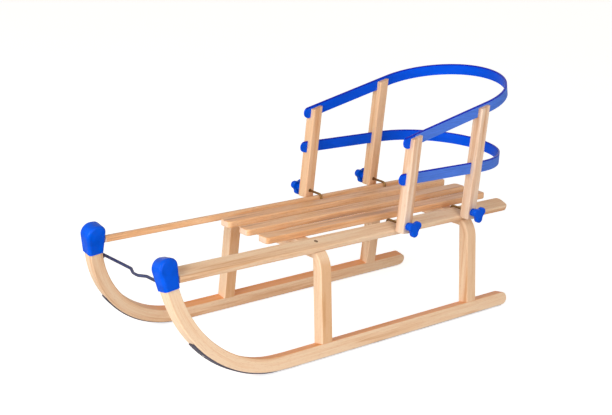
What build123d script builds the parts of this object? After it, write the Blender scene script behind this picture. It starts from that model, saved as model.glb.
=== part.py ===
"""Child's bent-wood sleigh with a clamp-on backrest.

Millimetres. +X points forward, to the turned-up horns, +Y to the sleigh's left, +Z up.
The origin is on the ground, under the middle of the whole length.
Places along the sleigh are stations: distances forward from the rear ends of the runners.
"""
import os
from math import cos, radians, sin, tan

from build123d import *

os.makedirs("parts", exist_ok=True)

# Runners: each is bent in a plane that leans inward as it rises
TRACK = 348.0  # outside to outside of the wood, at the sole
CANT = 10.4  # inward lean of each runner's plane, degrees
RUNNER_WIDTH = 24.5
RUNNER_WOOD = 27.0  # thickness of the wood, sole to top
RUNNER_EDGE = 2.5
SOLE_LENGTH = 602.0  # straight part, from the rear end
EASE_RADIUS = 800.0  # gentle start of the bend
EASE_ANGLE = 3.0
HORN_RADIUS = 251.0  # main bend, to the underside of the steel
HORN_ANGLE = 73.2
HORN_STRAIGHT = 50.0  # straight tip above the bend

# Steel strips under the runners
STEEL_THICKNESS = 2.5
STEEL_INSET = 4.5  # narrower than the wood by this on each side
STEEL_END_ANGLE = 48.0  # how far up the main bend the strip runs

# Trestles: bent hoops that stand on the runners
TRESTLE_STATIONS = {"front": 530.0, "rear": 124.5}  # front faces
TRESTLE_DEPTH = 27.0
TRESTLE_THICKNESS = 24.5
TRESTLE_SPLAY = 5.5  # lean of the legs, degrees
SHOULDER_RADIUS = 51.0
INNER_SHOULDER_RADIUS = 22.0
TRESTLE_EDGE = 2.5
RAIL_NOTCH_GAP = 0.5  # beside the rails, in the hoops

# Seat: flat slats in the middle, a tilted rail on each side
SEAT_HEIGHT = 221.0  # underside of the slats at the front face of the front trestle
SEAT_PITCH = 0.43  # the seat rises towards the front by this, degrees
SLAT_COUNT = 3
SLAT_PITCH = 60.0
SLAT_WIDTH = 31.0
SLAT_THICKNESS = 13.5
SLAT_REAR = -12.5
SLAT_FRONT = 601.0
SLAT_CORNER = 9.0
SLAT_EDGE = 2.5
RAIL_OUTSIDE = 139.5  # outer top edge, from the middle plane
RAIL_DROP = 0.3  # outer top edge below the slats' underside
RAIL_TILT = 18.4
RAIL_WIDTH = 35.1
RAIL_THICKNESS = 13.0
RAIL_REAR = -19.0
RAIL_CORNER = 12.0
RAIL_EDGE = 3.5

# Caps over the horns
CAP_WALL = 3.0
CAP_FOOT = 9.5  # lower edge, up the horn's tip from the end of the bend
CAP_BACK_WALL = 2.7  # behind the horn, at the lower edge
CAP_TOP = 73.0
CAP_TOP_FALL = 3.0  # the top falls this much to the rear
CAP_FOOT_RISE = 3.5  # the lower edge rises this much to the rear
CAP_FRONT_ROUND = 20.0
CAP_REAR_ROUND = 15.0
CAP_EDGE = 6.0

# Tow rod between the horns
ROD_DIAMETER = 6.0
ROD_BOW = 8.0  # the rod is bent forward this much in its middle
ROD_BOW_LENGTH = 52.0
ROD_BOW_FLAT = 14.0
ROD_TAB_HEIGHT = 13.0
ROD_TAB_THICKNESS = 2.5
ROD_TAB_WIDTH = 14.0
ROD_TAB_INSET = 2.0  # from the horn's inner side
ROD_TAB_GAP = 0.2
ROD_BELOW_BEND = 1.6  # middle of the flattened ends, down the bend from its end, degrees

# Backrest posts
POST_STATIONS = {"front": 310.6, "rear": 123.5}  # post axes at bolt height
POST_LEAN = 4.6  # towards the rear, degrees
POST_WIDTH = 23.5  # across the sleigh
POST_DEPTH = 24.0  # along the sleigh
POST_BELOW_BOLT = 15.0
POST_EDGE = 3.0
POST_RAIL_GAP = 0.3
POST_TOP_BELOW_BAND = 5.5  # post tops below the upper band's upper edge

# Backrest bands: strips on edge, bent to a U round the rear
BAND_HEIGHT = 23.5
BAND_THICKNESS = 3.5
BAND_SLOT_FIT = 0.15  # clearance round a band in a post's slot
BAND_END = 0.48  # rounding of the front ends, as a share of the height
BAND_NOSE = 29.0  # how far the bands reach in front of the front posts' axes
# Height above the front bolts, climb to the rear in degrees, centre of the bend round the rear
BANDS = {
    "upper": {"height": 173.2, "rise_angle": 11.8, "bend_station": 89.4},
    "lower": {"height": 95.0, "rise_angle": -1.2, "bend_station": 98.5},
}

# Hook bolts and star knobs that clamp the backrest to the rails
BOLT_DIAMETER = 5.0
BOLT_RAIL_GAP = 0.3
BOLT_FIT = 0.15  # radial clearance in posts and knobs
HOOK_BEND = 6.0
HOOK_DROP = 11.0  # tip of the hook below the bolt's axis
KNOB_LOBES = 3
KNOB_TURN = 27.0  # first lobe, up from straight ahead, degrees
KNOB_REACH = 9.5  # middle of a lobe's round end, from the axis
KNOB_LOBE_RADIUS = 8.5
KNOB_WAIST_RADIUS = 11.5
KNOB_BLEND = 4.0  # between the lobes and the waist
KNOB_HEAD = 10.5
KNOB_HUB_DIAMETER = 16.0
KNOB_HUB = 12.0
KNOB_EDGE = 2.5
KNOB_GRIP = 14.0  # how deep the bolt goes into the knob

# Derived places
HALF_TRACK = TRACK / 2
RUNNER_TOP = STEEL_THICKNESS + RUNNER_WOOD
OUTER_LIFT = (RUNNER_WIDTH - STEEL_INSET) * sin(radians(CANT))
END_RADIUS = RUNNER_WOOD / 2
HORN_LEAN = EASE_ANGLE + HORN_ANGLE
RAIL_ROUNDED = cos(radians(RAIL_TILT)) + sin(radians(RAIL_TILT)) - 1
POST_INSIDE = RAIL_OUTSIDE - RAIL_EDGE * RAIL_ROUNDED + POST_RAIL_GAP
POST_MIDDLE = POST_INSIDE + POST_WIDTH / 2
LEAN_SLOPE = tan(radians(POST_LEAN))


def horn_foot():
    """Station and height, in the runner's plane, where the bend ends on the steel's underside."""
    ease, lean = radians(EASE_ANGLE), radians(HORN_LEAN)
    station = SOLE_LENGTH + EASE_RADIUS * sin(ease) + HORN_RADIUS * (sin(lean) - sin(ease))
    height = EASE_RADIUS * (1 - cos(ease)) + HORN_RADIUS * (cos(ease) - cos(lean))
    return station, height


def horn_point(along, behind):
    """Point in the runner's plane, measured up the horn's tip and back from the steel's line."""
    lean = radians(HORN_LEAN)
    station, height = horn_foot()
    station += along * cos(lean) - behind * sin(lean)
    height += along * sin(lean) + behind * cos(lean)
    return station, height


UPPER_TILT = radians(BANDS["upper"]["rise_angle"])
CAP_REAR = horn_point(CAP_FOOT, RUNNER_TOP + CAP_BACK_WALL)[0]
FRONT_STATION = horn_point(CAP_TOP - CAP_FRONT_ROUND, STEEL_THICKNESS - CAP_WALL)[0]
BAND_REACH = POST_MIDDLE + BAND_THICKNESS / 2
BAND_LIFT = BAND_HEIGHT / 2 * sin(UPPER_TILT)
REAR_STATION = BANDS["upper"]["bend_station"] - BAND_REACH * cos(UPPER_TILT) - BAND_LIFT
ORIGIN_STATION = (FRONT_STATION + REAR_STATION) / 2


def x_at(station):
    """Model X of a station."""
    return station - ORIGIN_STATION


def seat_height(station):
    """Height of the slats' underside at a station."""
    return SEAT_HEIGHT + (station - TRESTLE_STATIONS["front"]) * tan(radians(SEAT_PITCH))


def save(part, name):
    """Label a finished piece and write its file."""
    part.label = name
    export_step(part, f"parts/{name}.step")


def save_pair(part, name, sides=("left", "right")):
    """Write a left-hand piece and its mirror image."""
    save(part, f"{name}_{sides[0]}")
    save(mirror(part, about=Plane.XZ, mode=Mode.PRIVATE), f"{name}_{sides[1]}")


# Runners
def runner_plane(inset):
    """Plane of the left runner, inset from its outer face; local X is the station, local Y up it."""
    lean = radians(CANT)
    inward = Vector(0, -cos(lean), -sin(lean))
    corner = Vector(x_at(0), HALF_TRACK, OUTER_LIFT)
    return Plane(origin=corner + inward * inset, x_dir=(1, 0, 0), z_dir=inward)


def strip_edge(height, bend_angle, tip):
    """One long edge of the bent runner, at a height above the steel's underside."""
    sole = Line((END_RADIUS, height), (SOLE_LENGTH, height))
    ease = JernArc(sole @ 1, sole % 1, EASE_RADIUS - height, EASE_ANGLE)
    bend = JernArc(ease @ 1, ease % 1, HORN_RADIUS - height, bend_angle)
    if tip > 0:
        end = Line(bend @ 1, bend @ 1 + (bend % 1) * tip)
    else:
        end = bend
    return sole @ 0, end @ 1


with BuildPart() as runner:
    with BuildSketch(runner_plane(0)):
        with BuildLine():
            low_rear, low_tip = strip_edge(STEEL_THICKNESS, HORN_ANGLE, HORN_STRAIGHT)
            top_rear, top_tip = strip_edge(RUNNER_TOP, HORN_ANGLE, HORN_STRAIGHT)
            Line(low_tip, top_tip)
            ThreePointArc(low_rear, (0, STEEL_THICKNESS + END_RADIUS), top_rear)
        make_face()
    extrude(amount=RUNNER_WIDTH)
    sides = runner.faces().sort_by(Axis(runner_plane(0).origin, runner_plane(0).z_dir))
    fillet(sides[0].edges() + sides[-1].edges(), RUNNER_EDGE)
save_pair(runner.part, "runner")

# Steel strips
with BuildPart() as steel:
    with BuildSketch(runner_plane(STEEL_INSET)):
        with BuildLine():
            low_rear, low_tip = strip_edge(0, STEEL_END_ANGLE, 0)
            top_rear, top_tip = strip_edge(STEEL_THICKNESS, STEEL_END_ANGLE, 0)
            Line(low_tip, top_tip)
            Line(low_rear, top_rear)
        make_face()
    extrude(amount=RUNNER_WIDTH - 2 * STEEL_INSET)
save_pair(steel.part, "runner_steel")


# Trestles
def rail_underside(station):
    """Outer lower corner of a rail's section at a station: distance from the middle, height."""
    tilt = radians(RAIL_TILT)
    top = seat_height(station) - RAIL_DROP
    return RAIL_OUTSIDE - RAIL_THICKNESS * sin(tilt), top - RAIL_THICKNESS * cos(tilt)


def hoop_corners(top):
    """Outer and inner corners of a trestle's left half, from the foot to the crossbar."""
    lean, slope = radians(CANT), tan(radians(TRESTLE_SPLAY))
    foot_y = HALF_TRACK - RUNNER_TOP * sin(lean)
    foot_z = OUTER_LIFT + RUNNER_TOP * cos(lean)
    leg = TRESTLE_THICKNESS / cos(radians(TRESTLE_SPLAY))
    under = top - TRESTLE_THICKNESS
    outer = [(foot_y, foot_z), (foot_y - slope * (top - foot_z), top)]
    inner = [(foot_y - leg, foot_z - leg * tan(lean)), (foot_y - leg - slope * (under - foot_z), under)]
    return outer, inner


for name, station in TRESTLE_STATIONS.items():
    rear_face = station - TRESTLE_DEPTH
    top = seat_height(rear_face)
    outer, inner = hoop_corners(top)
    foot_z = outer[0][1]
    seat_y, seat_z = rail_underside(rear_face)
    with BuildPart() as trestle:
        with BuildSketch(Plane.YZ.offset(x_at(rear_face))) as hoop:
            with BuildLine():
                Polyline(*outer, *[(-y, z) for y, z in reversed(outer)])
                Polyline(*inner, *[(-y, z) for y, z in reversed(inner)])
                Line(outer[0], inner[0])
                Line((-outer[0][0], outer[0][1]), (-inner[0][0], inner[0][1]))
            make_face()
            corners = hoop.vertices()
            fillet(corners.filter_by(lambda v: abs(v.Y - top) < 0.01), SHOULDER_RADIUS)
            fillet(corners.filter_by(lambda v: abs(v.Y - inner[1][1]) < 0.01), INNER_SHOULDER_RADIUS)
            # Flats that the rails lie on
            for side, outer_end in ((1, Align.MAX), (-1, Align.MIN)):
                flat = Location((side * seat_y, seat_z), -side * RAIL_TILT)
                with Locations(flat * Location((side * RAIL_NOTCH_GAP, 0))):
                    Rectangle(2 * RAIL_WIDTH, RAIL_WIDTH, align=(outer_end, Align.MIN), mode=Mode.SUBTRACT)
        extrude(amount=TRESTLE_DEPTH)
        ends = trestle.faces().sort_by(Axis.X)
        legs = ends[0].edges() + ends[-1].edges()
        legs = legs.filter_by(lambda e: foot_z + 1 < e.center().Z < seat_z - 1)
        fillet(legs, TRESTLE_EDGE)
    save(trestle.part, f"trestle_{name}")

# Seat slats
tilt = radians(SEAT_PITCH)
slat_plane = Plane(
    origin=(x_at(TRESTLE_STATIONS["front"]), 0, SEAT_HEIGHT),
    x_dir=(cos(tilt), 0, sin(tilt)),
    z_dir=(-sin(tilt), 0, cos(tilt)),
)
slat_middle = (SLAT_FRONT + SLAT_REAR) / 2 - TRESTLE_STATIONS["front"]
for index in range(SLAT_COUNT):
    across = (index - (SLAT_COUNT - 1) / 2) * SLAT_PITCH
    with BuildPart() as slat:
        with BuildSketch(slat_plane):
            with Locations((slat_middle, across)):
                RectangleRounded(SLAT_FRONT - SLAT_REAR, SLAT_WIDTH, SLAT_CORNER)
        extrude(amount=SLAT_THICKNESS)
        broad = slat.faces().sort_by(Axis.Z)
        fillet(broad[0].edges() + broad[-1].edges(), SLAT_EDGE)
    save(slat.part, f"seat_slat_{index + 1}")

# Side rails
rail_y, rail_z = rail_underside(RAIL_REAR)
with BuildPart() as rail:
    with BuildSketch(Plane.YZ.offset(x_at(RAIL_REAR))):
        with Locations(Location((rail_y, rail_z), -RAIL_TILT)):
            Rectangle(RAIL_WIDTH, RAIL_THICKNESS, align=(Align.MAX, Align.MIN))
    extrude(amount=(CAP_REAR - RAIL_REAR) / cos(tilt), dir=(cos(tilt), 0, sin(tilt)))
    fillet(rail.edges().filter_by(lambda e: abs(e.length - RAIL_THICKNESS) < 0.1).group_by(Axis.X)[0], RAIL_CORNER)
    upward = Axis((0, rail_y, rail_z), (0, sin(radians(RAIL_TILT)), cos(radians(RAIL_TILT))))
    broad = rail.faces().sort_by(upward)
    rims = broad[0].edges() + broad[-1].edges()
    fillet(rims.filter_by(lambda e: e.center().X < x_at(CAP_REAR) - RAIL_EDGE), RAIL_EDGE)
save_pair(rail.part, "rail")

# Caps: closed blocks over the horns, flat at the back where the rails end
with BuildPart() as cap:
    foot = horn_point(CAP_FOOT, STEEL_THICKNESS - CAP_WALL)
    crown = horn_point(CAP_TOP, STEEL_THICKNESS - CAP_WALL)
    with BuildSketch(runner_plane(-CAP_WALL)):
        with BuildLine():
            FilletPolyline(
                foot,
                crown,
                (CAP_REAR, crown[1] - CAP_TOP_FALL),
                (CAP_REAR, foot[1] + CAP_FOOT_RISE),
                radius=(0, CAP_FRONT_ROUND, CAP_REAR_ROUND, 0),
                close=True,
            )
        make_face()
    extrude(amount=RUNNER_WIDTH + 2 * CAP_WALL)
    sides = cap.faces().sort_by(Axis(runner_plane(0).origin, runner_plane(0).z_dir))
    fillet([e for side in (sides[0], sides[-1]) for e in side.edges().sort_by(Axis.Z)[1:]], CAP_EDGE)
    add(runner.part, mode=Mode.SUBTRACT)
save_pair(cap.part, "tip_cap")


# Tow rod: screwed to the back of the horns by its flattened ends, just under the caps
def rod_seat():
    """Plane on the back of the left horn; local X is inward, local Y up the horn."""
    lean, angle = radians(HORN_LEAN), radians(HORN_LEAN - ROD_BELOW_BEND)
    station, height = horn_foot()
    depth = HORN_RADIUS - RUNNER_TOP - ROD_TAB_GAP
    station += depth * sin(angle) - HORN_RADIUS * sin(lean)
    height += HORN_RADIUS * cos(lean) - depth * cos(angle)
    middle = runner_plane(RUNNER_WIDTH / 2)
    origin = middle.from_local_coords((station, height, 0))
    backward = middle.from_local_coords((station - sin(angle), height + cos(angle), 0)) - origin
    return Plane(origin=origin, x_dir=middle.z_dir, z_dir=backward)


seat = rod_seat()
tab_middle = seat.from_local_coords((RUNNER_WIDTH / 2 - ROD_TAB_INSET - ROD_TAB_WIDTH / 2, 0, 0))
rod_end = tab_middle + seat.z_dir * (ROD_DIAMETER / 2)
bow_angle = radians(HORN_LEAN - ROD_BELOW_BEND)
bow_plane = Plane(
    origin=(rod_end.X, 0, rod_end.Z), x_dir=(0, 1, 0), z_dir=(-cos(bow_angle), 0, -sin(bow_angle))
)
with BuildPart() as tow_rod:
    with BuildLine(bow_plane) as rod_line:
        half = [(rod_end.Y, 0), (ROD_BOW_LENGTH / 2, 0), (ROD_BOW_FLAT / 2, ROD_BOW)]
        FilletPolyline(*half, *[(-y, bow) for y, bow in reversed(half)], radius=ROD_DIAMETER)
    with BuildSketch(Plane(origin=rod_end, z_dir=(0, -1, 0))):
        Circle(ROD_DIAMETER / 2)
    sweep(path=rod_line.wires()[0])
    with BuildSketch(Plane(origin=tab_middle, x_dir=seat.x_dir, z_dir=seat.z_dir)):
        RectangleRounded(ROD_TAB_WIDTH, ROD_TAB_HEIGHT, ROD_TAB_HEIGHT / 3)
    extrude(amount=ROD_TAB_THICKNESS)
    split(bisect_by=seat, keep=Keep.TOP)
    split(bisect_by=Plane.XZ, keep=Keep.BOTTOM)
    mirror(about=Plane.XZ)
save(tow_rod.part, "tow_rod")


# Backrest bands
def bolt_height(station):
    """Height of a hook bolt's axis: just above the rounded inner edge of the rail."""
    slope = radians(RAIL_TILT)
    inner_top = seat_height(station) - RAIL_DROP + RAIL_WIDTH * sin(slope)
    crest = inner_top - RAIL_EDGE * RAIL_ROUNDED
    return crest + BOLT_RAIL_GAP + BOLT_DIAMETER / 2


def band_plane(band):
    """Plane of a band's middle line, its origin at the centre of the bend; local X is forward."""
    rise = radians(band["rise_angle"])
    station = POST_STATIONS["front"] - band["height"] * LEAN_SLOPE
    height = bolt_height(POST_STATIONS["front"]) + band["height"]
    height += (station - band["bend_station"]) * tan(rise)
    return Plane(
        origin=(x_at(band["bend_station"]), 0, height),
        x_dir=(cos(rise), 0, -sin(rise)),
        z_dir=(sin(rise), 0, cos(rise)),
    )


def band_length(band):
    """Straight part of a band, from the bend to its front end."""
    station = POST_STATIONS["front"] - band["height"] * LEAN_SLOPE + BAND_NOSE
    return (station - band["bend_station"]) / cos(radians(band["rise_angle"]))


for name, band in BANDS.items():
    with BuildPart() as strip:
        with BuildSketch(band_plane(band)):
            Circle(POST_MIDDLE + BAND_THICKNESS / 2)
            Circle(POST_MIDDLE - BAND_THICKNESS / 2, mode=Mode.SUBTRACT)
            Rectangle(4 * POST_MIDDLE, 4 * POST_MIDDLE, align=(Align.MIN, Align.CENTER), mode=Mode.SUBTRACT)
            for side in (1, -1):
                with Locations((0, side * POST_MIDDLE)):
                    Rectangle(band_length(band), BAND_THICKNESS, align=(Align.MIN, Align.CENTER))
        extrude(amount=BAND_HEIGHT / 2, both=True)
        fillet(strip.edges().filter_by(Axis.Y).sort_by(Axis.X)[-4:], BAND_END * BAND_HEIGHT)
    save(strip.part, f"backrest_band_{name}")

# Backrest posts
for name, station in POST_STATIONS.items():
    foot = Plane(
        origin=(x_at(station), POST_MIDDLE, bolt_height(station)),
        x_dir=(cos(radians(POST_LEAN)), 0, sin(radians(POST_LEAN))),
        z_dir=(-sin(radians(POST_LEAN)), 0, cos(radians(POST_LEAN))),
    )
    upper = band_plane(BANDS["upper"])
    with BuildPart() as post:
        with BuildSketch(foot.offset(-POST_BELOW_BOLT)):
            RectangleRounded(POST_DEPTH, POST_WIDTH, POST_EDGE)
        extrude(amount=2 * BANDS["upper"]["height"])
        split(bisect_by=upper.offset(BAND_HEIGHT / 2 - POST_TOP_BELOW_BAND), keep=Keep.BOTTOM)
        for band in BANDS.values():
            with BuildSketch(band_plane(band)):
                with Locations((0, POST_MIDDLE)):
                    Rectangle(
                        band_length(band) + POST_DEPTH,
                        BAND_THICKNESS + 2 * BAND_SLOT_FIT,
                        align=(Align.MIN, Align.CENTER),
                    )
            extrude(amount=BAND_HEIGHT / 2 + BAND_SLOT_FIT, both=True, mode=Mode.SUBTRACT)
        with BuildSketch(Plane.XZ.offset(-POST_MIDDLE)):
            with Locations((x_at(station), bolt_height(station))):
                Circle(BOLT_DIAMETER / 2 + BOLT_FIT)
        extrude(amount=POST_WIDTH, both=True, mode=Mode.SUBTRACT)
    save_pair(post.part, f"backrest_post_{name}")

# Hook bolts: each comes out of a knob, through a post, over the rail and down its inner side
for name, station in POST_STATIONS.items():
    slope = radians(RAIL_TILT)
    height = bolt_height(station)
    offset = BOLT_RAIL_GAP + BOLT_DIAMETER / 2
    edge_y = RAIL_OUTSIDE - RAIL_WIDTH * cos(slope)
    edge_z = seat_height(station) - RAIL_DROP + RAIL_WIDTH * sin(slope)
    turn_y = edge_y - offset / cos(slope) + (height - edge_z) * tan(slope)
    tip = (turn_y - HOOK_DROP * tan(slope), height - HOOK_DROP)
    bolt_end = POST_INSIDE + POST_WIDTH + KNOB_GRIP
    with BuildPart() as bolt:
        with BuildLine(Plane.YZ.offset(x_at(station))) as bolt_line:
            FilletPolyline((bolt_end, height), (turn_y, height), tip, radius=HOOK_BEND)
        with BuildSketch(Plane(origin=(x_at(station), bolt_end, height), z_dir=(0, -1, 0))):
            Circle(BOLT_DIAMETER / 2)
        sweep(path=bolt_line.wires()[0])
    save_pair(bolt.part, f"hook_bolt_{name}")

# Star knobs
for name, station in POST_STATIONS.items():
    face = Plane(
        origin=(x_at(station), POST_INSIDE + POST_WIDTH, bolt_height(station)),
        x_dir=(1, 0, 0),
        z_dir=(0, 1, 0),
    )
    with BuildPart() as knob:
        with BuildSketch(face.offset(KNOB_HUB)) as star:
            Circle(KNOB_WAIST_RADIUS)
            with PolarLocations(KNOB_REACH, KNOB_LOBES, start_angle=-KNOB_TURN):
                Circle(KNOB_LOBE_RADIUS)
            fillet(star.vertices(), KNOB_BLEND)
        extrude(amount=KNOB_HEAD)
        fillet(knob.faces().filter_by(Axis.Y).edges(), KNOB_EDGE)
        with BuildSketch(face):
            Circle(KNOB_HUB_DIAMETER / 2)
        extrude(amount=KNOB_HUB)
        with BuildSketch(face):
            Circle(BOLT_DIAMETER / 2 + BOLT_FIT)
        extrude(amount=KNOB_GRIP + BOLT_FIT, mode=Mode.SUBTRACT)
    save_pair(knob.part, f"star_knob_{name}")
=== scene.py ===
from math import cos, pi, radians, sin, tan

import bmesh
import bpy
from bpy.props import FloatProperty, FloatVectorProperty, PointerProperty
from mathutils import Matrix, Vector


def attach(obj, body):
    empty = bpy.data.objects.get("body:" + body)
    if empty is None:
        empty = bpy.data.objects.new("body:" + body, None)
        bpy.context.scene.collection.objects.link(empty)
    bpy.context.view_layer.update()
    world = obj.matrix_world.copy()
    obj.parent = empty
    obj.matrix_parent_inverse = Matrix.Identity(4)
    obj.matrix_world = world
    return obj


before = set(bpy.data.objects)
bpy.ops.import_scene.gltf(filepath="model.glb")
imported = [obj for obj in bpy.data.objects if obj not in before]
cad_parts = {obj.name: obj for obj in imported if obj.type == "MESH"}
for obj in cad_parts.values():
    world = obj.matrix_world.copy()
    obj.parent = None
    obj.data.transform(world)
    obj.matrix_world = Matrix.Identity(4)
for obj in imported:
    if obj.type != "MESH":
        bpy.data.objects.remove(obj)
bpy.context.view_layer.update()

bl_info = {
    "name": "Wooden sleigh",
    "version": (1, 0, 0),
    "blender": (4, 5, 0),
    "location": "View3D > Sidebar > Sleigh",
    "description": "Finishes, screws and studio for a bent-wood child's sleigh with a backrest",
    "category": "Object",
}

SIDES = {"left": 1.0, "right": -1.0}
CORNERS = ("front_left", "front_right", "rear_left", "rear_right")
AHEAD = (1.0, 0.0, 0.0)
ACROSS = (0.0, 1.0, 0.0)
UP = (0.0, 0.0, 1.0)

# Shapes that the grain and the finishes follow, in metres

RUNNER_LEAN = radians(10.4)
RUNNER_MIDDLE = 0.162  # from the sleigh's middle to the middle of a runner, at the ground
HORN_BEND = (0.2178, 0.2509)  # middle of the runners' bend: along, and up in the leaning plane
HORN_RADIUS = 0.238  # of the runners' middle line
HOOP_BEND = (0.104, 0.169)  # middle of a hoop's shoulder: out from the middle, and up
HOOP_RADIUS = 0.040  # of the shoulder's middle line
POST_LEAN = radians(4.6)
# Height over the hook bolts, rise to the rear, and where the band starts to go round the back
BANDS = {
    "upper": {"height": 0.1732, "rise": radians(11.8), "bend_x": -0.323},
    "lower": {"height": 0.0950, "rise": radians(-1.2), "bend_x": -0.314},
}
BAND_HALF = 0.01175  # half of a band's height
BAND_RIM = 0.0022  # height of its dark upper stripe

# Where wear shows, where light and shade are painted, and which boards take darker tones

WORN_PAST_BEND = 0.03  # how far past the start of the bend the strips are worn bright
# Painted shade: a dark brown rim round each hook bolt stands in for the shadow in its bore
BORE_SHADE_REACH = 0.0042  # radius of the dark rim round the hook bolts
BORE_SHADE_BROWN = (0.10, 0.035, 0.012)
RAIL_TONES = {"left": "frame", "right": "seat"}  # the right rail takes the seat's darker tones
# Painted light and shade: the left posts are tinted cooler, like wood in the lamps' light, the right
# ones warmer and darker, like wood in shade
POST_LIGHT_AND_SHADE = {"left": (0.95, 0.965, 1.06), "right": (0.93, 0.84, 0.76)}

# Beech: how fast its noise runs along the grain, as a share of its rate across

STREAK_DRAW = 0.045
FIBRE_DRAW = 0.02
FLECK_DRAW = 0.16  # as a share of the fibres' rate across
FLECK_RATE = 1.1  # rate of the flecks across the grain, as a share of the fibres' rate
# Where the boards of each kind start in the noise, and the step from one board to the next
BOARDS = {
    "runner": (0.0, 0.31),
    "trestle": (0.47, 0.23),
    "slat": (0.9, 0.17),
    "rail": (1.5, 0.17),
    "post": (1.9, 0.29),
}
BOARD_WAY = (1.0, 0.37, 0.61)  # direction of those places through the noise

# Screws

STRIP_SCREWS = (radians(20.0), radians(43.0))  # round the bend from the ground
STRIP_APPROACH = (0.30, 0.20)  # from below the strip up into it, as distances from the bend's middle
RAIL_APPROACH = 0.4  # height from which a screw's place is looked for on a rail
FACE_FLATNESS = 0.0002  # reach of what counts as the knob's face on its post
HEAD_RINGS = 5
HEAD_SEGMENTS = 48
HEAD_CROWN = 0.34  # width of the crown round the recess, as a share of the head's radius
CROSS_ARM = 0.56  # reach of the cross recess, as a share of the head's radius
CROSS_HALF = 0.13  # half the width of an arm, likewise
CROSS_TAPER = 0.8  # size of the recess at its floor, as a share of its mouth

# Studio

SENSOR_WIDTH = 36.0  # millimetres
FLOOR_REACH = 6.0  # from its middle to each side
FLOOR_DROP = 0.0005  # keeps the floor clear of the strips
FLOOR_TONES = ((0.74, 0.77, 0.81), (0.78, 0.81, 0.85))
# Square lamps: where each stands and how wide it is
LAMPS = {
    "key": {"place": (3.2, 0.6, 1.2), "size": 2.0},
    "side": {"place": (0.8, 3.4, 1.5), "size": 2.4},
}
LAMP_AIM = (0.0, 0.0, 0.2)
# Heights in the sky, 1 straight up, where the light from above starts and where it is full
SKY_SPAN = (0.15, 0.85)
WHITE = (1.0, 1.0, 1.0)


# Sizes and colours that a user would change

class SleighWood(bpy.types.PropertyGroup):
    """Tones and grain of the varnished beech."""

    frame_pale: FloatVectorProperty(
        name="Frame, pale",
        description="Colour between the growth rings of runners, hoops, rails and posts",
        subtype="COLOR", size=3, min=0, max=1, default=(0.955, 0.725, 0.51))
    frame_warm: FloatVectorProperty(
        name="Frame, warm", description="Colour of most of the runners, hoops, rails and posts",
        subtype="COLOR", size=3, min=0, max=1, default=(0.895, 0.61, 0.385))
    frame_ring: FloatVectorProperty(
        name="Frame, rings", description="Colour of their darker lines along the grain",
        subtype="COLOR", size=3, min=0, max=1, default=(0.73, 0.415, 0.22))
    # Painted shade: a darker, oranger tone on the runners' upper faces stands in for the shade under
    # the seat
    runner_top: FloatVectorProperty(
        name="Runner tops",
        description="Colour of the runners' upper faces, where the varnish has run deeper",
        subtype="COLOR", size=3, min=0, max=1, default=(0.94, 0.34, 0.075))
    # Painted shade: a darker, oranger tone on the front hoop's faces that look across the sleigh stands
    # in for the shade on its sides
    shaded_hoop_side: FloatVectorProperty(
        name="Hoop sides", description="Colour of the front hoop's flat-sawn outer and inner faces",
        subtype="COLOR", size=3, min=0, max=1, default=(0.78, 0.43, 0.20))
    seat_pale: FloatVectorProperty(
        name="Seat, pale", description="Colour between the growth rings of the slats",
        subtype="COLOR", size=3, min=0, max=1, default=(0.96, 0.615, 0.36))
    seat_warm: FloatVectorProperty(
        name="Seat, warm", description="Colour of most of the slats",
        subtype="COLOR", size=3, min=0, max=1, default=(0.89, 0.485, 0.235))
    seat_ring: FloatVectorProperty(
        name="Seat, rings", description="Colour of the slats' darker lines along the grain",
        subtype="COLOR", size=3, min=0, max=1, default=(0.60, 0.33, 0.20))
    ring_spacing: FloatProperty(
        name="Ring spacing",
        description="Distance across the grain from one broad streak to the next",
        subtype="DISTANCE", unit="LENGTH", default=0.013, min=0.002, max=0.05)
    fibre_width: FloatProperty(
        name="Fibre width", description="Width of the fine fibres",
        subtype="DISTANCE", unit="LENGTH", default=0.0011, min=0.0003, max=0.005)
    end_grain: FloatVectorProperty(
        name="End grain", description="Colour of the sawn ends of the slats",
        subtype="COLOR", size=3, min=0, max=1, default=(0.90, 0.69, 0.54))
    varnish: FloatProperty(
        name="Varnish", description="Strength of the clear coat",
        subtype="FACTOR", default=0.05, min=0, max=1)

    def tones(self, place):
        """Colours of the rings, the body and the pale wood, on the frame or the seat."""
        return tuple(tuple(getattr(self, f"{place}_{part}")) for part in ("ring", "warm", "pale"))


class SleighPlastic(bpy.types.PropertyGroup):
    """Colours of the moulded plastic pieces."""

    cap_blue: FloatVectorProperty(
        name="Cap blue", description="Colour of the caps over the horns",
        subtype="COLOR", size=3, min=0, max=1, default=(0.0, 0.097, 0.77))
    band_blue: FloatVectorProperty(
        name="Band blue", description="Colour of the glossy inner side of the backrest's bands",
        subtype="COLOR", size=3, min=0, max=1, default=(0.0, 0.098, 0.87))
    # Painted reflection: the outer side's lighter, greyer blue stands in for the sheen it reflects
    band_outside_sheen: FloatVectorProperty(
        name="Band outside", description="Colour of the bands' duller outer side",
        subtype="COLOR", size=3, min=0, max=1, default=(0.078, 0.20, 0.74))
    # The bands' dark upper edge is a stripe of colour across the top of their faces
    band_edge: FloatVectorProperty(
        name="Band edge", description="Colour of the bands' rolled upper edge",
        subtype="COLOR", size=3, min=0, max=1, default=(0.0, 0.015, 0.56))
    knob_blue: FloatVectorProperty(
        name="Knob blue", description="Colour of the star knobs",
        subtype="COLOR", size=3, min=0, max=1, default=(0.0, 0.097, 0.77))


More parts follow.
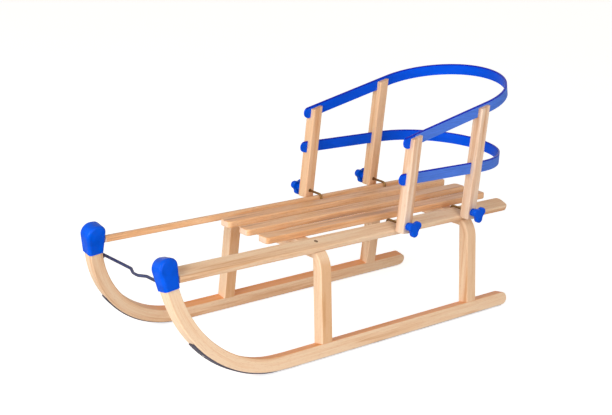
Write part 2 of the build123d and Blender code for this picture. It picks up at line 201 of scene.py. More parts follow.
class SleighMetal(bpy.types.PropertyGroup):
    """Colours and sizes of the metal pieces."""

    strip_grey: FloatVectorProperty(
        name="Strip steel", description="Colour of the strips under the runners",
        subtype="COLOR", size=3, min=0, max=1, default=(0.125, 0.125, 0.175))
    strip_worn: FloatVectorProperty(
        name="Worn steel", description="Colour of the strips where they run on the ground",
        subtype="COLOR", size=3, min=0, max=1, default=(0.80, 0.78, 0.76))
    rod_dark: FloatVectorProperty(
        name="Rod finish", description="Colour of the tow rod's dark finish",
        subtype="COLOR", size=3, min=0, max=1, default=(0.038, 0.048, 0.125))
    # Painted shade: the rail screws' dark brown stands in for the shadow of the holes they sit in
    screw_brown: FloatVectorProperty(
        name="Screw brown", description="Colour of the darkened screws in the rails",
        subtype="COLOR", size=3, min=0, max=1, default=(0.16, 0.075, 0.035))
    zinc_gold: FloatVectorProperty(
        name="Yellow zinc", description="Colour of the plating on the hook bolts",
        subtype="COLOR", size=3, min=0, max=1, default=(0.26, 0.14, 0.05))
    screw_head: FloatProperty(
        name="Screw head", description="Diameter of the screws in the rails",
        subtype="DISTANCE", unit="LENGTH", default=0.0078, min=0.003, max=0.015)
    strip_screw_head: FloatProperty(
        name="Strip screw head", description="Diameter of the screws that hold the steel strips",
        subtype="DISTANCE", unit="LENGTH", default=0.006, min=0.003, max=0.01)


class SleighStage(bpy.types.PropertyGroup):
    """Camera and studio."""

    camera_place: FloatVectorProperty(
        name="Camera place", description="Where the camera stands",
        subtype="TRANSLATION", unit="LENGTH", size=3, default=(1.74792, 1.97745, 1.04298))
    camera_turn: FloatProperty(
        name="Camera turn", description="Direction of the view, turned from straight ahead",
        subtype="ANGLE", unit="ROTATION", default=radians(-131.018))
    camera_tilt: FloatProperty(
        name="Camera tilt", description="Angle of the view from the horizon, negative downward",
        subtype="ANGLE", unit="ROTATION", default=radians(-16.819))
    camera_roll: FloatProperty(
        name="Camera roll", description="Lean of the camera round its own view",
        subtype="ANGLE", unit="ROTATION", default=radians(2.526))
    focal_length: FloatProperty(
        name="Focal length", description="Lens on a frame 36 mm wide",
        unit="CAMERA", default=79.967)
    key_power: FloatProperty(
        name="Key light", description="Power of the large lamp in front of the horns",
        unit="POWER", default=74.0, min=0)
    side_power: FloatProperty(
        name="Side light", description="Power of the lamp on the camera's side",
        unit="POWER", default=44.0, min=0)
    surround: FloatProperty(
        name="Surround", description="Strength of the even light from all round, at the horizon",
        default=0.50, min=0)
    horizon: FloatVectorProperty(
        name="Horizon", description="Tint of the light from the sides",
        subtype="COLOR", size=3, min=0, max=1, default=(1.0, 0.93, 0.86))
    overhead: FloatVectorProperty(
        name="Overhead", description="Tint of the dimmer light from above",
        subtype="COLOR", size=3, min=0, max=1, default=(0.66, 0.53, 0.42))
    floor_lift: FloatProperty(
        name="Floor lift", description="Extra white that the camera sees in the floor",
        default=0.68, min=0)


# Node building

class NodeSheet:
    """A node tree, with a few short ways to extend it."""

    def __init__(self, tree):
        self.tree = tree

    def node(self, kind, **settings):
        made = self.tree.nodes.new(kind)
        for key, value in settings.items():
            setattr(made, key, value)
        return made

    def plug(self, value, socket):
        if isinstance(value, bpy.types.NodeSocket):
            self.tree.links.new(value, socket)
        else:
            socket.default_value = value

    def math(self, operation, first, second=0.0, third=0.0):
        made = self.node("ShaderNodeMath", operation=operation)
        for value, socket in zip((first, second, third), made.inputs):
            self.plug(value, socket)
        return made.outputs[0]

    def place(self):
        """Place on the object, in metres."""
        return self.node("ShaderNodeTexCoord").outputs["Object"]

    def split(self, vector):
        made = self.node("ShaderNodeSeparateXYZ")
        self.plug(vector, made.inputs[0])
        return made.outputs

    def join(self, x, y, z):
        made = self.node("ShaderNodeCombineXYZ")
        for value, socket in zip((x, y, z), made.inputs):
            self.plug(value, socket)
        return made.outputs[0]

    def stretch(self, vector, factors):
        made = self.node("ShaderNodeVectorMath", operation="MULTIPLY")
        self.plug(vector, made.inputs[0])
        made.inputs[1].default_value = factors
        return made.outputs[0]

    def noise(self, vector, detail=2.0, roughness=0.5, distortion=0.0):
        made = self.node("ShaderNodeTexNoise")
        self.plug(vector, made.inputs["Vector"])
        made.inputs["Scale"].default_value = 1.0
        made.inputs["Detail"].default_value = detail
        made.inputs["Roughness"].default_value = roughness
        made.inputs["Distortion"].default_value = distortion
        return made.outputs["Fac"]

    def ramp(self, value, stops):
        made = self.node("ShaderNodeValToRGB")
        self.plug(value, made.inputs[0])
        elements = made.color_ramp.elements
        while len(elements) < len(stops):
            elements.new(0.5)
        for element, (position, colour) in zip(elements, stops):
            element.position = position
            if isinstance(colour, (int, float)):
                colour = (colour, colour, colour)
            element.color = (*colour, 1.0)
        return made.outputs[0]

    def near_axis(self, axis, reach):
        """1 round a line that runs across the sleigh, falling to 0 at a distance from it."""
        gap = self.node("ShaderNodeVectorMath", operation="DISTANCE")
        self.plug(self.stretch(self.place(), (1.0, 0.0, 1.0)), gap.inputs[0])
        gap.inputs[1].default_value = (axis[0], 0.0, axis[2])
        return self.ramp(self.math("DIVIDE", gap.outputs["Value"], reach), ((0.8, 1.0), (1.0, 0.0)))

    def facing(self, toward):
        """How far the surface turns toward a direction, from -1 to 1."""
        made = self.node("ShaderNodeVectorMath", operation="DOT_PRODUCT")
        self.plug(self.node("ShaderNodeTexCoord").outputs["Normal"], made.inputs[0])
        self.plug(toward, made.inputs[1])
        return made.outputs["Value"]

    def span(self, value, low, high):
        """A value from 0 to 1 moved to the range low to high."""
        made = self.node("ShaderNodeMapRange")
        self.plug(value, made.inputs[0])
        made.inputs[3].default_value = low
        made.inputs[4].default_value = high
        return made.outputs[0]

    def speckle(self, rate, detail=2.0, roughness=0.5, distortion=0.0):
        """Noise that runs alike in every direction, by its rate over a metre."""
        return self.noise(self.stretch(self.place(), (rate, rate, rate)), detail, roughness, distortion)

    def blend(self, factor, first, second):
        made = self.node("ShaderNodeMix", data_type="RGBA")
        self.plug(factor, made.inputs[0])
        for value, socket in ((first, made.inputs[6]), (second, made.inputs[7])):
            if not isinstance(value, bpy.types.NodeSocket):
                value = (*value, 1.0)
            self.plug(value, socket)
        return made.outputs[2]


class Recipe(NodeSheet):
    """A material under construction."""

    def __init__(self, name, roughness, metallic=0.0):
        self.material = bpy.data.materials.new(name)
        self.material.use_nodes = True
        super().__init__(self.material.node_tree)
        self.shader = self.tree.nodes["Principled BSDF"]
        self.shader.inputs["Roughness"].default_value = roughness
        self.shader.inputs["Metallic"].default_value = metallic

    def colour(self, value):
        self.plug(value, self.shader.inputs["Base Color"])

    def rough(self, value):
        self.plug(value, self.shader.inputs["Roughness"])

    def bump(self, height, depth, strength):
        made = self.node("ShaderNodeBump")
        made.inputs["Strength"].default_value = strength
        made.inputs["Distance"].default_value = depth
        self.plug(height, made.inputs["Height"])
        self.tree.links.new(made.outputs[0], self.shader.inputs["Normal"])


# Ways that the grain runs: each gives (along, across, across) in metres

def grain_along_seat(recipe):
    return recipe.place()


def grain_up_post(recipe):
    x, y, z = recipe.split(recipe.place())
    lean = recipe.math("MULTIPLY_ADD", z, tan(POST_LEAN), x)
    return recipe.join(z, y, lean)


def grain_round_hoop(recipe):
    """Up the legs, round the shoulders and along the crossbar."""
    bend_y, bend_z = HOOP_BEND
    x, y, z = recipe.split(recipe.place())
    out = recipe.math("SUBTRACT", recipe.math("ABSOLUTE", y), bend_y)
    up = recipe.math("SUBTRACT", z, bend_z)
    out_part, up_part = recipe.math("MAXIMUM", out, 0.0), recipe.math("MAXIMUM", up, 0.0)
    least = 0.0001  # keeps the turn steady on the legs and the crossbar
    turned = recipe.math("ARCTAN2", up_part, recipe.math("MAXIMUM", out_part, least))
    along = recipe.math("MULTIPLY", turned, HOOP_RADIUS)
    along = recipe.math("ADD", along, recipe.math("MINIMUM", up, 0.0))
    along = recipe.math("SUBTRACT", along, recipe.math("MINIMUM", out, 0.0))
    across = recipe.math("SQRT", recipe.math("ADD",
        recipe.math("POWER", out_part, 2.0), recipe.math("POWER", up_part, 2.0)))
    return recipe.join(along, x, across)


def grain_round_runner(recipe):
    """Along the sole and up the bend, in the runner's leaning plane."""
    bend_x, bend_z = HORN_BEND
    x, y, z = recipe.split(recipe.place())
    height = recipe.math("DIVIDE", z, cos(RUNNER_LEAN))
    inward = recipe.math("MULTIPLY_ADD", z, sin(RUNNER_LEAN), recipe.math("ABSOLUTE", y))
    ahead = recipe.math("MAXIMUM", recipe.math("SUBTRACT", x, bend_x), 0.0)
    below = recipe.math("SUBTRACT", bend_z, height)
    turned = recipe.math("ARCTAN2", ahead, below)
    along = recipe.math("MULTIPLY_ADD", turned, HORN_RADIUS, recipe.math("MINIMUM", x, bend_x))
    reach = recipe.math("SQRT", recipe.math("ADD",
        recipe.math("POWER", ahead, 2.0), recipe.math("POWER", below, 2.0)))
    return recipe.join(along, inward, reach)


# Finishes

def board_shift(kind, index):
    """How far a board of a kind lies along the noise, so that no two show the same grain."""
    start, step = BOARDS[kind]
    return start + step * index


def varnished_beech(name, grain, wood, place="frame", shift=0.0, light_and_shade_tint=WHITE, bore=None, flat=None):
    """Beech with soft streaks, fine fibres and the short flecks of its rays, under clear varnish.

    shift moves the board through the noise, and the tint paints light and shade on the board. bore is
    the axis of a hole whose rim gets a painted shade, and flat is a direction with a tone of painted
    shade for the faces that look along it.
    """
    recipe = Recipe(name, roughness=0.42)
    # Painted light and shade: the tint makes the board cooler where it stands for lit wood, warmer and
    # darker where it stands for shaded wood
    ring, warm, pale = (tuple(min(1.0, part * share) for part, share in zip(tone, light_and_shade_tint))
                        for tone in wood.tones(place))
    shifted = recipe.node("ShaderNodeVectorMath", operation="ADD")
    recipe.plug(grain(recipe), shifted.inputs[0])
    shifted.inputs[1].default_value = tuple(shift * part for part in BOARD_WAY)
    way = shifted.outputs[0]
    broad = 1.0 / wood.ring_spacing
    fine = 1.0 / wood.fibre_width
    fleck = fine * FLECK_RATE
    streaks = recipe.noise(recipe.stretch(way, (broad * STREAK_DRAW, broad, broad)),
                           detail=3.0, roughness=0.55, distortion=0.35)
    fibres = recipe.noise(recipe.stretch(way, (fine * FIBRE_DRAW, fine, fine)),
                          detail=2.0, roughness=0.6)
    flecks = recipe.noise(recipe.stretch(way, (fine * FLECK_DRAW, fleck, fleck)),
                          detail=1.0, roughness=0.4)
    depth = recipe.math("ADD", recipe.math("MULTIPLY", streaks, 0.78),
                        recipe.math("MULTIPLY", fibres, 0.22))
    board = recipe.ramp(depth, ((0.36, ring), (0.46, warm), (0.56, pale), (0.70, warm)))
    fleck_mask = recipe.ramp(flecks, ((0.60, 0.0), (0.70, 1.0)))
    board = recipe.blend(recipe.math("MULTIPLY", fleck_mask, 0.32), board, ring)
    # Painted shade: faces that look along the given direction take its darker tone
    if flat is not None:
        direction, tone = flat
        turned = recipe.math("ABSOLUTE", recipe.facing(direction))
        board = recipe.blend(recipe.ramp(turned, ((0.80, 0.0), (0.95, 0.65))), board, tone)
    if place == "seat":
        turned = recipe.math("ABSOLUTE", recipe.facing(AHEAD))
        sawn = recipe.ramp(turned, ((0.75, 0.0), (0.95, 1.0)))
        board = recipe.blend(recipe.math("MULTIPLY", sawn, 0.8), board, tuple(wood.end_grain))
    # Painted shade: a dark brown rim round the bore stands in for the shadow in the hole
    if bore is not None:
        board = recipe.blend(recipe.near_axis(bore, BORE_SHADE_REACH), board, BORE_SHADE_BROWN)
    recipe.colour(board)
    recipe.rough(recipe.span(fibres, 0.34, 0.50))
    recipe.bump(fibres, depth=0.00006, strength=0.5)
    recipe.shader.inputs["Specular IOR Level"].default_value = 0.14
    recipe.shader.inputs["Coat Weight"].default_value = wood.varnish
    recipe.shader.inputs["Coat Roughness"].default_value = 0.28
    return recipe.material


def moulded_plastic(name, blue, roughness):
    """Gloss plastic with a faint flow of tone and a fine skin."""
    recipe = Recipe(name, roughness)
    cloud = recipe.speckle(38.0, detail=3.0, roughness=0.55, distortion=0.4)
    skin = recipe.speckle(950.0, detail=1.0)
    deep = tuple(part * 0.84 for part in blue)
    light = (blue[0], min(1.0, blue[1] * 1.14), min(1.0, blue[2] * 1.08))
    recipe.colour(recipe.ramp(cloud, ((0.32, deep), (0.52, blue), (0.70, light))))
    recipe.rough(recipe.span(cloud, roughness - 0.05, roughness + 0.08))
    recipe.bump(skin, depth=0.00003, strength=0.35)
    recipe.shader.inputs["Specular IOR Level"].default_value = 0.04
    recipe.shader.inputs["Coat Weight"].default_value = 0.12
    recipe.shader.inputs["Coat Roughness"].default_value = 0.07
    return recipe.material


def band_plastic(name, plastic, band):
    """Extruded strip, glossy inside and rougher outside, with a lighter blue painted on the outside as
    its sheen, and dark along its upper edge.
    """
    recipe = Recipe(name, roughness=0.3)
    cloud = recipe.noise(recipe.stretch(recipe.place(), (14.0, 14.0, 60.0)),
                         detail=3.0, roughness=0.55, distortion=0.4)
    outer_streaks = recipe.noise(recipe.stretch(recipe.place(), (20.0, 20.0, 420.0)),
                          detail=3.0, roughness=0.6)
    x, y, z = recipe.split(recipe.place())
    behind = recipe.math("MINIMUM", recipe.math("SUBTRACT", x, band["bend_x"]), 0.0)
    away = recipe.node("ShaderNodeVectorMath", operation="NORMALIZE")
    recipe.plug(recipe.join(behind, y, 0.0), away.inputs[0])
    bolt = bolt_axis("front_left")
    back = recipe.math("SUBTRACT", bolt.x - band["height"] * tan(POST_LEAN), x)
    outward = recipe.ramp(recipe.facing(away.outputs[0]), ((0.2, 0.0), (0.6, 1.0)))
    outside = recipe.math("MULTIPLY", outward, recipe.math("GREATER_THAN", back, 0.0))
    over = recipe.math("SUBTRACT", z, bolt.z + band["height"])
    across = recipe.math("SUBTRACT", recipe.math("MULTIPLY", over, cos(band["rise"])),
                         recipe.math("MULTIPLY", back, sin(band["rise"])))
    # A dark stripe of colour along the top of the faces
    edge = recipe.math("GREATER_THAN", across, BAND_HALF - BAND_RIM)
    blue = tuple(plastic.band_blue)
    deep = tuple(part * 0.86 for part in blue)
    # Painted reflection: the outer side's lighter, greyer blue stands in for the sheen it reflects
    dull = tuple(plastic.band_outside_sheen)
    pale = tuple(min(1.0, part * 1.22) for part in dull)
    inner = recipe.ramp(cloud, ((0.35, deep), (0.60, blue)))
    outer = recipe.ramp(outer_streaks, ((0.40, dull), (0.64, pale)))
    sides = recipe.blend(outside, inner, outer)
    recipe.colour(recipe.blend(edge, sides, tuple(plastic.band_edge)))
    recipe.rough(recipe.span(outside, 0.26, 0.5))
    recipe.bump(outer_streaks, depth=0.00004, strength=0.3)
    recipe.shader.inputs["Specular IOR Level"].default_value = 0.09
    return recipe.material


def strip_steel(name, dull, worn):
    """Steel with fine lines along the strip, worn bright on the flat and dull up the bend."""
    recipe = Recipe(name, roughness=0.42, metallic=1.0)
    way = grain_round_runner(recipe)
    lines = recipe.noise(recipe.stretch(way, (30.0, 1500.0, 1500.0)), detail=2.0, roughness=0.6)
    mottle = recipe.noise(recipe.stretch(way, (30.0, 55.0, 55.0)),
                          detail=3.0, roughness=0.6, distortion=0.3)
    mixed = recipe.math("MULTIPLY_ADD", lines, 0.5, recipe.math("MULTIPLY", mottle, 0.5))
    tones = []
    for tone in (worn, dull):
        dark = tuple(part * 0.68 for part in tone)
        light = tuple(min(1.0, part * 1.3) for part in tone)
        tones.append(recipe.ramp(mixed, ((0.36, dark), (0.50, tone), (0.64, light))))
    past = recipe.math("SUBTRACT", recipe.split(recipe.place())[0], HORN_BEND[0])
    raised = recipe.ramp(recipe.math("DIVIDE", past, WORN_PAST_BEND), ((0.0, 0.0), (1.0, 1.0)))
    recipe.colour(recipe.blend(raised, *tones))
    recipe.rough(recipe.span(mottle, 0.34, 0.54))
    recipe.bump(lines, depth=0.00003, strength=0.4)
    return recipe.material


def yellow_zinc(name, gold):
    """Zinc plating whose passivation shifts between gold, brown and a hint of green."""
    recipe = Recipe(name, roughness=0.34, metallic=1.0)
    shift = recipe.speckle(240.0, detail=3.0, roughness=0.6, distortion=0.6)
    brown = (gold[0] * 0.62, gold[1] * 0.50, gold[2] * 0.50)
    green = (gold[0] * 0.88, gold[1] * 1.16, gold[2] * 1.05)
    recipe.colour(recipe.ramp(shift, ((0.30, brown), (0.50, gold), (0.68, green))))
    recipe.rough(recipe.span(shift, 0.26, 0.44))
    recipe.bump(shift, depth=0.00004, strength=0.3)
    return recipe.material


def dark_coat(name, tone):
    """Thin dark paint over steel, a little uneven."""
    recipe = Recipe(name, roughness=0.36, metallic=0.35)
    cloud = recipe.speckle(120.0, detail=3.0, roughness=0.6)
    skin = recipe.speckle(1400.0, detail=1.0)
    deep = tuple(part * 0.7 for part in tone)
    light = tuple(part * 1.5 for part in tone)
    recipe.colour(recipe.ramp(cloud, ((0.3, deep), (0.5, tone), (0.7, light))))
    recipe.rough(recipe.span(cloud, 0.28, 0.46))
    recipe.bump(skin, depth=0.00003, strength=0.4)
    return recipe.material


def dress(node, material):
    """Give a finish to a piece that keeps its own solid."""
    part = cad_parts[node]
    if not part.material_slots:
        part.data.materials.append(material)
    for holder in part.material_slots:
        holder.material = material


# Places on the pieces

def surface(node, start, target):
    """Where a line first meets a piece, and the way that the surface faces there."""
    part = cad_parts[node]
    into = part.matrix_world.inverted()
    start, target = into @ Vector(start), into @ Vector(target)
    found, place, normal, _ = part.ray_cast(start, (target - start).normalized())
    if not found:
        raise RuntimeError(f"no surface of {node} on the line")
    return part.matrix_world @ place, (part.matrix_world.to_3x3() @ normal).normalized()


def box_middle(node):
    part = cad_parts[node]
    return part.matrix_world @ (sum((Vector(corner) for corner in part.bound_box), Vector()) / 8)


def bolt_axis(corner):
    """Where a hook bolt leaves its post: the middle of the knob's face on the post."""
    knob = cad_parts[f"star_knob_{corner}"]
    places = [knob.matrix_world @ vertex.co for vertex in knob.data.vertices]
    nearest = min(abs(place.y) for place in places)
    rim = [place for place in places if abs(place.y) < nearest + FACE_FLATNESS]
    return sum(rim, Vector()) / len(rim)


def bend_place(side, turn, reach):
    """A place in a runner's leaning plane, by its turn round the bend and its reach from the middle."""
    height = HORN_BEND[1] - reach * cos(turn)
    return (HORN_BEND[0] + reach * sin(turn),
            SIDES[side] * (RUNNER_MIDDLE - height * sin(RUNNER_LEAN)), height * cos(RUNNER_LEAN))


# Small metal pieces

def screw_head_mesh(name, radius, dome, recess):
    """Round head with a raised crown and a cross recess, its rim on the XY plane."""
    head = bmesh.new()
    arm, half = radius * CROSS_ARM, radius * CROSS_HALF
    cross = [(arm, -half), (arm, half), (half, half), (half, arm), (-half, arm), (-half, half),
             (-arm, half), (-arm, -half), (-half, -half), (-half, -arm), (half, -arm), (half, -half)]

    def crown(x, y):
        return dome * (1.0 - (x * x + y * y) / (radius * radius))

    outer = []
    for step in range(HEAD_RINGS):
        reach = radius * (1.0 - HEAD_CROWN * step / (HEAD_RINGS - 1))
        ring = []
        for index in range(HEAD_SEGMENTS):
            turn = 2 * pi * index / HEAD_SEGMENTS
            x, y = reach * cos(turn), reach * sin(turn)
            ring.append(head.verts.new((x, y, crown(x, y))))
        outer.append(ring)
    for low, high in zip(outer, outer[1:]):
        for index in range(HEAD_SEGMENTS):
            after = (index + 1) % HEAD_SEGMENTS
            head.faces.new((low[index], low[after], high[after], high[index]))
    inner = [head.verts.new((x, y, crown(x, y))) for x, y in cross]
    edges = []
    for loop in (outer[-1], inner):
        for index, corner in enumerate(loop):
            follower = loop[(index + 1) % len(loop)]
            edges.append(head.edges.get((corner, follower)) or head.edges.new((corner, follower)))
    bmesh.ops.triangle_fill(head, edges=edges, use_beauty=True, use_dissolve=False, normal=(0, 0, 1))
    floor = [head.verts.new((x * CROSS_TAPER, y * CROSS_TAPER, crown(x, y) - recess)) for x, y in cross]
    for index in range(len(cross)):
        after = (index + 1) % len(cross)
        head.faces.new((inner[index], inner[after], floor[after], floor[index]))
    head.faces.new(floor)
    mesh = bpy.data.meshes.new(name)
    bmesh.ops.recalc_face_normals(head, faces=head.faces)
    head.to_mesh(mesh)
    head.free()
    for face in mesh.polygons:
        face.use_smooth = True
    return mesh


def set_screw(name, mesh, place, outward, material, body, turn):
    """Put a screw head at a place, its crown facing outward."""
    screw = bpy.data.objects.new(name, mesh)
    bpy.context.scene.collection.objects.link(screw)
    aim = Vector(outward).normalized().to_track_quat("Z", "Y").to_matrix().to_4x4()
    screw.matrix_world = Matrix.Translation(place) @ aim @ Matrix.Rotation(turn, 4, "Z")
    if not mesh.materials:
        mesh.materials.append(material)
    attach(screw, body)


# Operators, one for each piece or group of like pieces

class SLEIGH_OT_runners(bpy.types.Operator):
    """Varnished beech on both bent runners, its grain following the bend"""

    bl_idname = "sleigh.runners"
    bl_label = "Runners"

    def execute(self, context):
        beech = context.scene.sleigh_wood
        for index, side in enumerate(SIDES):
            # Painted shade: the upper faces take the darker runner-top tone
            wood = varnished_beech(f"beech_runner_{side}", grain_round_runner,
                                   beech, shift=board_shift("runner", index),
                                   flat=(UP, tuple(beech.runner_top)))
            dress(f"runner_{side}", wood)
        return {"FINISHED"}


class SLEIGH_OT_trestles(bpy.types.Operator):
    """Varnished beech on both hoops, its grain following the shoulders"""

    bl_idname = "sleigh.trestles"
    bl_label = "Trestles"

    def execute(self, context):
        beech = context.scene.sleigh_wood
        # Painted shade: the front hoop's side faces take a darker tone, the rear hoop's its usual warm
        # tone
        sides = {"front": tuple(beech.shaded_hoop_side), "rear": tuple(beech.frame_warm)}
        for index, (place, side) in enumerate(sides.items()):
            wood = varnished_beech(f"beech_trestle_{place}", grain_round_hoop,
                                   beech, shift=board_shift("trestle", index), flat=(ACROSS, side))
            dress(f"trestle_{place}", wood)
        return {"FINISHED"}


class SLEIGH_OT_seat(bpy.types.Operator):
    """Varnished beech on the seat's slats"""

    bl_idname = "sleigh.seat"
    bl_label = "Seat slats"

    def execute(self, context):
        for number in (1, 2, 3):
            wood = varnished_beech(f"beech_slat_{number}", grain_along_seat,
                                   context.scene.sleigh_wood, "seat", board_shift("slat", number))
            dress(f"seat_slat_{number}", wood)
        return {"FINISHED"}


class SLEIGH_OT_rails(bpy.types.Operator):
    """Varnished beech on the side rails, screwed to both hoops"""

    bl_idname = "sleigh.rails"
    bl_label = "Side rails"

    def execute(self, context):
        metal = context.scene.sleigh_metal
        head = screw_head_mesh("rail_screw_head", metal.screw_head / 2, dome=0.0004, recess=0.0016)
        # Painted shade: the screws take the dark brown that stands in for the shade of their holes
        steel = yellow_zinc("rail_screw_zinc", tuple(metal.screw_brown))
        for index, side in enumerate(SIDES):
            rail = f"rail_{side}"
            turn = radians(25 + 40 * index)  # differs from rail to rail
            dress(rail, varnished_beech(f"beech_{rail}", grain_along_seat, context.scene.sleigh_wood,
                                        RAIL_TONES[side], board_shift("rail", index)))
            for place in ("front", "rear"):
                above = Vector((box_middle(f"trestle_{place}").x, box_middle(rail).y, RAIL_APPROACH))
                spot, normal = surface(rail, above, above - Vector(UP))
                set_screw(f"rail_screw_{place}_{side}", head, spot, normal, steel, "sled",
                          turn)
        return {"FINISHED"}


class SLEIGH_OT_posts(bpy.types.Operator):
    """Varnished beech on the four backrest posts"""

    bl_idname = "sleigh.posts"
    bl_label = "Backrest posts"

    def execute(self, context):
        for index, corner in enumerate(CORNERS):
            # Painted light and shade: the left posts are tinted as lit wood, the right ones as shaded
            # wood, and the bores get a rim of painted shade
            wood = varnished_beech(f"beech_post_{corner}", grain_up_post,
                                   context.scene.sleigh_wood, shift=board_shift("post", index),
                                   light_and_shade_tint=POST_LIGHT_AND_SHADE[corner.split("_")[1]], bore=bolt_axis(corner))
            dress(f"backrest_post_{corner}", wood)
        return {"FINISHED"}


class SLEIGH_OT_caps(bpy.types.Operator):
    """Blue moulded plastic on the caps over the horns"""

    bl_idname = "sleigh.caps"
    bl_label = "Horn caps"

    def execute(self, context):
        plastic = context.scene.sleigh_plastic
        blue = moulded_plastic("cap_plastic", tuple(plastic.cap_blue), roughness=0.17)
        for side in SIDES:
            dress(f"tip_cap_{side}", blue)
        return {"FINISHED"}


class SLEIGH_OT_bands(bpy.types.Operator):
    """Blue extruded plastic on the two bands of the backrest"""

    bl_idname = "sleigh.bands"
    bl_label = "Backrest bands"

    def execute(self, context):
        for place, band in BANDS.items():
            blue = band_plastic(f"band_plastic_{place}", context.scene.sleigh_plastic, band)
            dress(f"backrest_band_{place}", blue)
        return {"FINISHED"}


class SLEIGH_OT_knobs(bpy.types.Operator):
    """Blue moulded plastic on the star knobs"""

    bl_idname = "sleigh.knobs"
    bl_label = "Star knobs"

    def execute(self, context):
        plastic = context.scene.sleigh_plastic
        blue = moulded_plastic("knob_plastic", tuple(plastic.knob_blue), roughness=0.26)
        for corner in CORNERS:
            dress(f"star_knob_{corner}", blue)
        return {"FINISHED"}


class SLEIGH_OT_strips(bpy.types.Operator):
    """Steel on the strips under the runners, and the screws that hold them"""

    bl_idname = "sleigh.strips"
    bl_label = "Steel strips"

    def execute(self, context):
        metal = context.scene.sleigh_metal
        steel = strip_steel("strip_steel", tuple(metal.strip_grey), tuple(metal.strip_worn))
        head = screw_head_mesh("strip_screw_head", metal.strip_screw_head / 2,
                               dome=0.0003, recess=0.001)
        for side in SIDES:
            strip = f"runner_steel_{side}"
            dress(strip, steel)
            for number, up_bend in enumerate(STRIP_SCREWS, 1):
                start, target = (bend_place(side, up_bend, reach) for reach in STRIP_APPROACH)
                spot, normal = surface(strip, start, target)
                turn = radians(30 * number)  # differs from screw to screw
                set_screw(f"strip_screw_{number}_{side}", head, spot, normal, steel, "sled",
                          turn)
        return {"FINISHED"}


class SLEIGH_OT_tow_rod(bpy.types.Operator):
    """Dark finish on the tow rod"""

    bl_idname = "sleigh.tow_rod"
    bl_label = "Tow rod"

    def execute(self, context):
        metal = context.scene.sleigh_metal
        dress("tow_rod", dark_coat("rod_finish", tuple(metal.rod_dark)))
        return {"FINISHED"}


class SLEIGH_OT_hook_bolts(bpy.types.Operator):
    """Yellow zinc on the hook bolts"""

    bl_idname = "sleigh.hook_bolts"
    bl_label = "Hook bolts"

    def execute(self, context):
        zinc = yellow_zinc("yellow_zinc", tuple(context.scene.sleigh_metal.zinc_gold))
        for corner in CORNERS:
            dress(f"hook_bolt_{corner}", zinc)
        return {"FINISHED"}


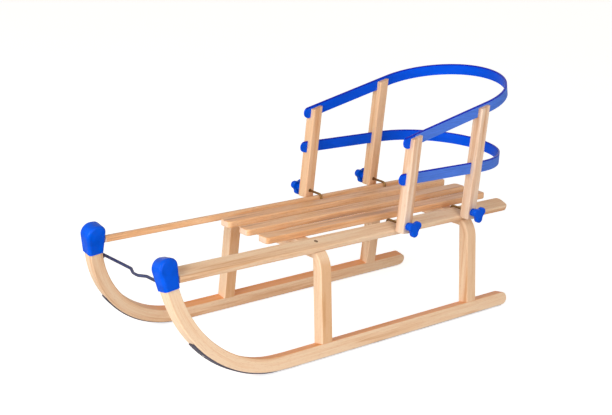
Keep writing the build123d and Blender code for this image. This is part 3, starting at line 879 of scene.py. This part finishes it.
class SLEIGH_OT_stage(bpy.types.Operator):
    """Pale floor, soft lamps and the camera of the photograph"""

    bl_idname = "sleigh.stage"
    bl_label = "Studio and camera"

    def execute(self, context):
        scene, stage = context.scene, context.scene.sleigh_stage
        self.place_camera(scene, stage)
        self.lay_floor(scene, stage)
        self.hang_lamps(scene, stage)
        self.light_surround(scene, stage)
        scene.view_settings.view_transform = "Standard"
        return {"FINISHED"}

    def place_camera(self, scene, stage):
        view = Vector((cos(stage.camera_tilt) * cos(stage.camera_turn),
                       cos(stage.camera_tilt) * sin(stage.camera_turn), sin(stage.camera_tilt)))
        side = Vector((sin(stage.camera_turn), -cos(stage.camera_turn), 0.0))
        top = side.cross(view)
        across = side * cos(stage.camera_roll) + top * sin(stage.camera_roll)
        upward = top * cos(stage.camera_roll) - side * sin(stage.camera_roll)
        lens = bpy.data.cameras.new("photo_camera")
        lens.lens = stage.focal_length
        lens.sensor_width = SENSOR_WIDTH
        camera = bpy.data.objects.new("photo_camera", lens)
        turn = Matrix((across, upward, -view)).transposed().to_4x4()
        camera.matrix_world = Matrix.Translation(stage.camera_place) @ turn
        scene.collection.objects.link(camera)
        scene.camera = camera

    def lay_floor(self, scene, stage):
        sheet = bmesh.new()
        bmesh.ops.create_grid(sheet, x_segments=8, y_segments=8, size=FLOOR_REACH)
        mesh = bpy.data.meshes.new("studio_floor")
        sheet.to_mesh(mesh)
        sheet.free()
        floor = bpy.data.objects.new("studio_floor", mesh)
        floor.location.z = -FLOOR_DROP
        scene.collection.objects.link(floor)
        recipe = Recipe("studio_floor", roughness=0.9)
        recipe.colour(recipe.ramp(recipe.speckle(2.0), tuple(enumerate(FLOOR_TONES))))
        seen = recipe.node("ShaderNodeLightPath").outputs["Is Camera Ray"]
        recipe.plug(recipe.math("MULTIPLY", seen, stage.floor_lift),
                    recipe.shader.inputs["Emission Strength"])
        mesh.materials.append(recipe.material)

    def hang_lamps(self, scene, stage):
        for name, lamp in LAMPS.items():
            light = bpy.data.lights.new(f"{name}_lamp", "AREA")
            light.size = lamp["size"]
            light.energy = getattr(stage, f"{name}_power")
            holder = bpy.data.objects.new(f"{name}_lamp", light)
            aim = (Vector(LAMP_AIM) - Vector(lamp["place"])).to_track_quat("-Z", "Y").to_matrix()
            holder.matrix_world = Matrix.Translation(lamp["place"]) @ aim.to_4x4()
            scene.collection.objects.link(holder)

    def light_surround(self, scene, stage):
        """Even light from all round, dimmer from above; plain white where it is seen or mirrored."""
        world = bpy.data.worlds.new("studio")
        scene.world = world
        world.use_nodes = True
        sheet = NodeSheet(world.node_tree)
        back = sheet.tree.nodes["Background"]
        path = sheet.node("ShaderNodeLightPath").outputs
        clear = sheet.math("MAXIMUM", path["Is Glossy Ray"], path["Is Transmission Ray"])
        seen = sheet.math("MAXIMUM", path["Is Camera Ray"], clear)
        height = sheet.split(sheet.node("ShaderNodeTexCoord").outputs["Generated"])[2]
        low, high = SKY_SPAN
        tint = sheet.ramp(height, ((low, stage.horizon), (high, stage.overhead)))
        sheet.plug(sheet.span(seen, stage.surround, 1.0), back.inputs["Strength"])
        sheet.plug(sheet.blend(seen, tint, WHITE), back.inputs["Color"])


class SLEIGH_PT_sleigh(bpy.types.Panel):
    """Builds the sleigh's finishes one group of pieces at a time"""

    bl_label = "Wooden sleigh"
    bl_space_type = "VIEW_3D"
    bl_region_type = "UI"
    bl_category = "Sleigh"

    def draw(self, context):
        for step in STEPS:
            self.layout.operator(step.bl_idname, text=step.bl_label)


STEPS = (
    SLEIGH_OT_runners,
    SLEIGH_OT_trestles,
    SLEIGH_OT_seat,
    SLEIGH_OT_rails,
    SLEIGH_OT_posts,
    SLEIGH_OT_caps,
    SLEIGH_OT_bands,
    SLEIGH_OT_knobs,
    SLEIGH_OT_strips,
    SLEIGH_OT_tow_rod,
    SLEIGH_OT_hook_bolts,
    SLEIGH_OT_stage,
)
SETTINGS = {
    "sleigh_wood": SleighWood,
    "sleigh_plastic": SleighPlastic,
    "sleigh_metal": SleighMetal,
    "sleigh_stage": SleighStage,
}


def register():
    for name, group in SETTINGS.items():
        bpy.utils.register_class(group)
        setattr(bpy.types.Scene, name, PointerProperty(type=group))
    for step in STEPS:
        bpy.utils.register_class(step)
    bpy.utils.register_class(SLEIGH_PT_sleigh)


def unregister():
    bpy.utils.unregister_class(SLEIGH_PT_sleigh)
    for step in reversed(STEPS):
        bpy.utils.unregister_class(step)
    for name, group in SETTINGS.items():
        delattr(bpy.types.Scene, name)
        bpy.utils.unregister_class(group)


def main():
    register()
    bpy.ops.sleigh.runners()
    bpy.ops.sleigh.trestles()
    bpy.ops.sleigh.seat()
    bpy.ops.sleigh.rails()
    bpy.ops.sleigh.posts()
    bpy.ops.sleigh.caps()
    bpy.ops.sleigh.bands()
    bpy.ops.sleigh.knobs()
    bpy.ops.sleigh.strips()
    bpy.ops.sleigh.tow_rod()
    bpy.ops.sleigh.hook_bolts()
    bpy.ops.sleigh.stage()
    bpy.context.view_layer.update()


if __name__ == "__main__":
    main()
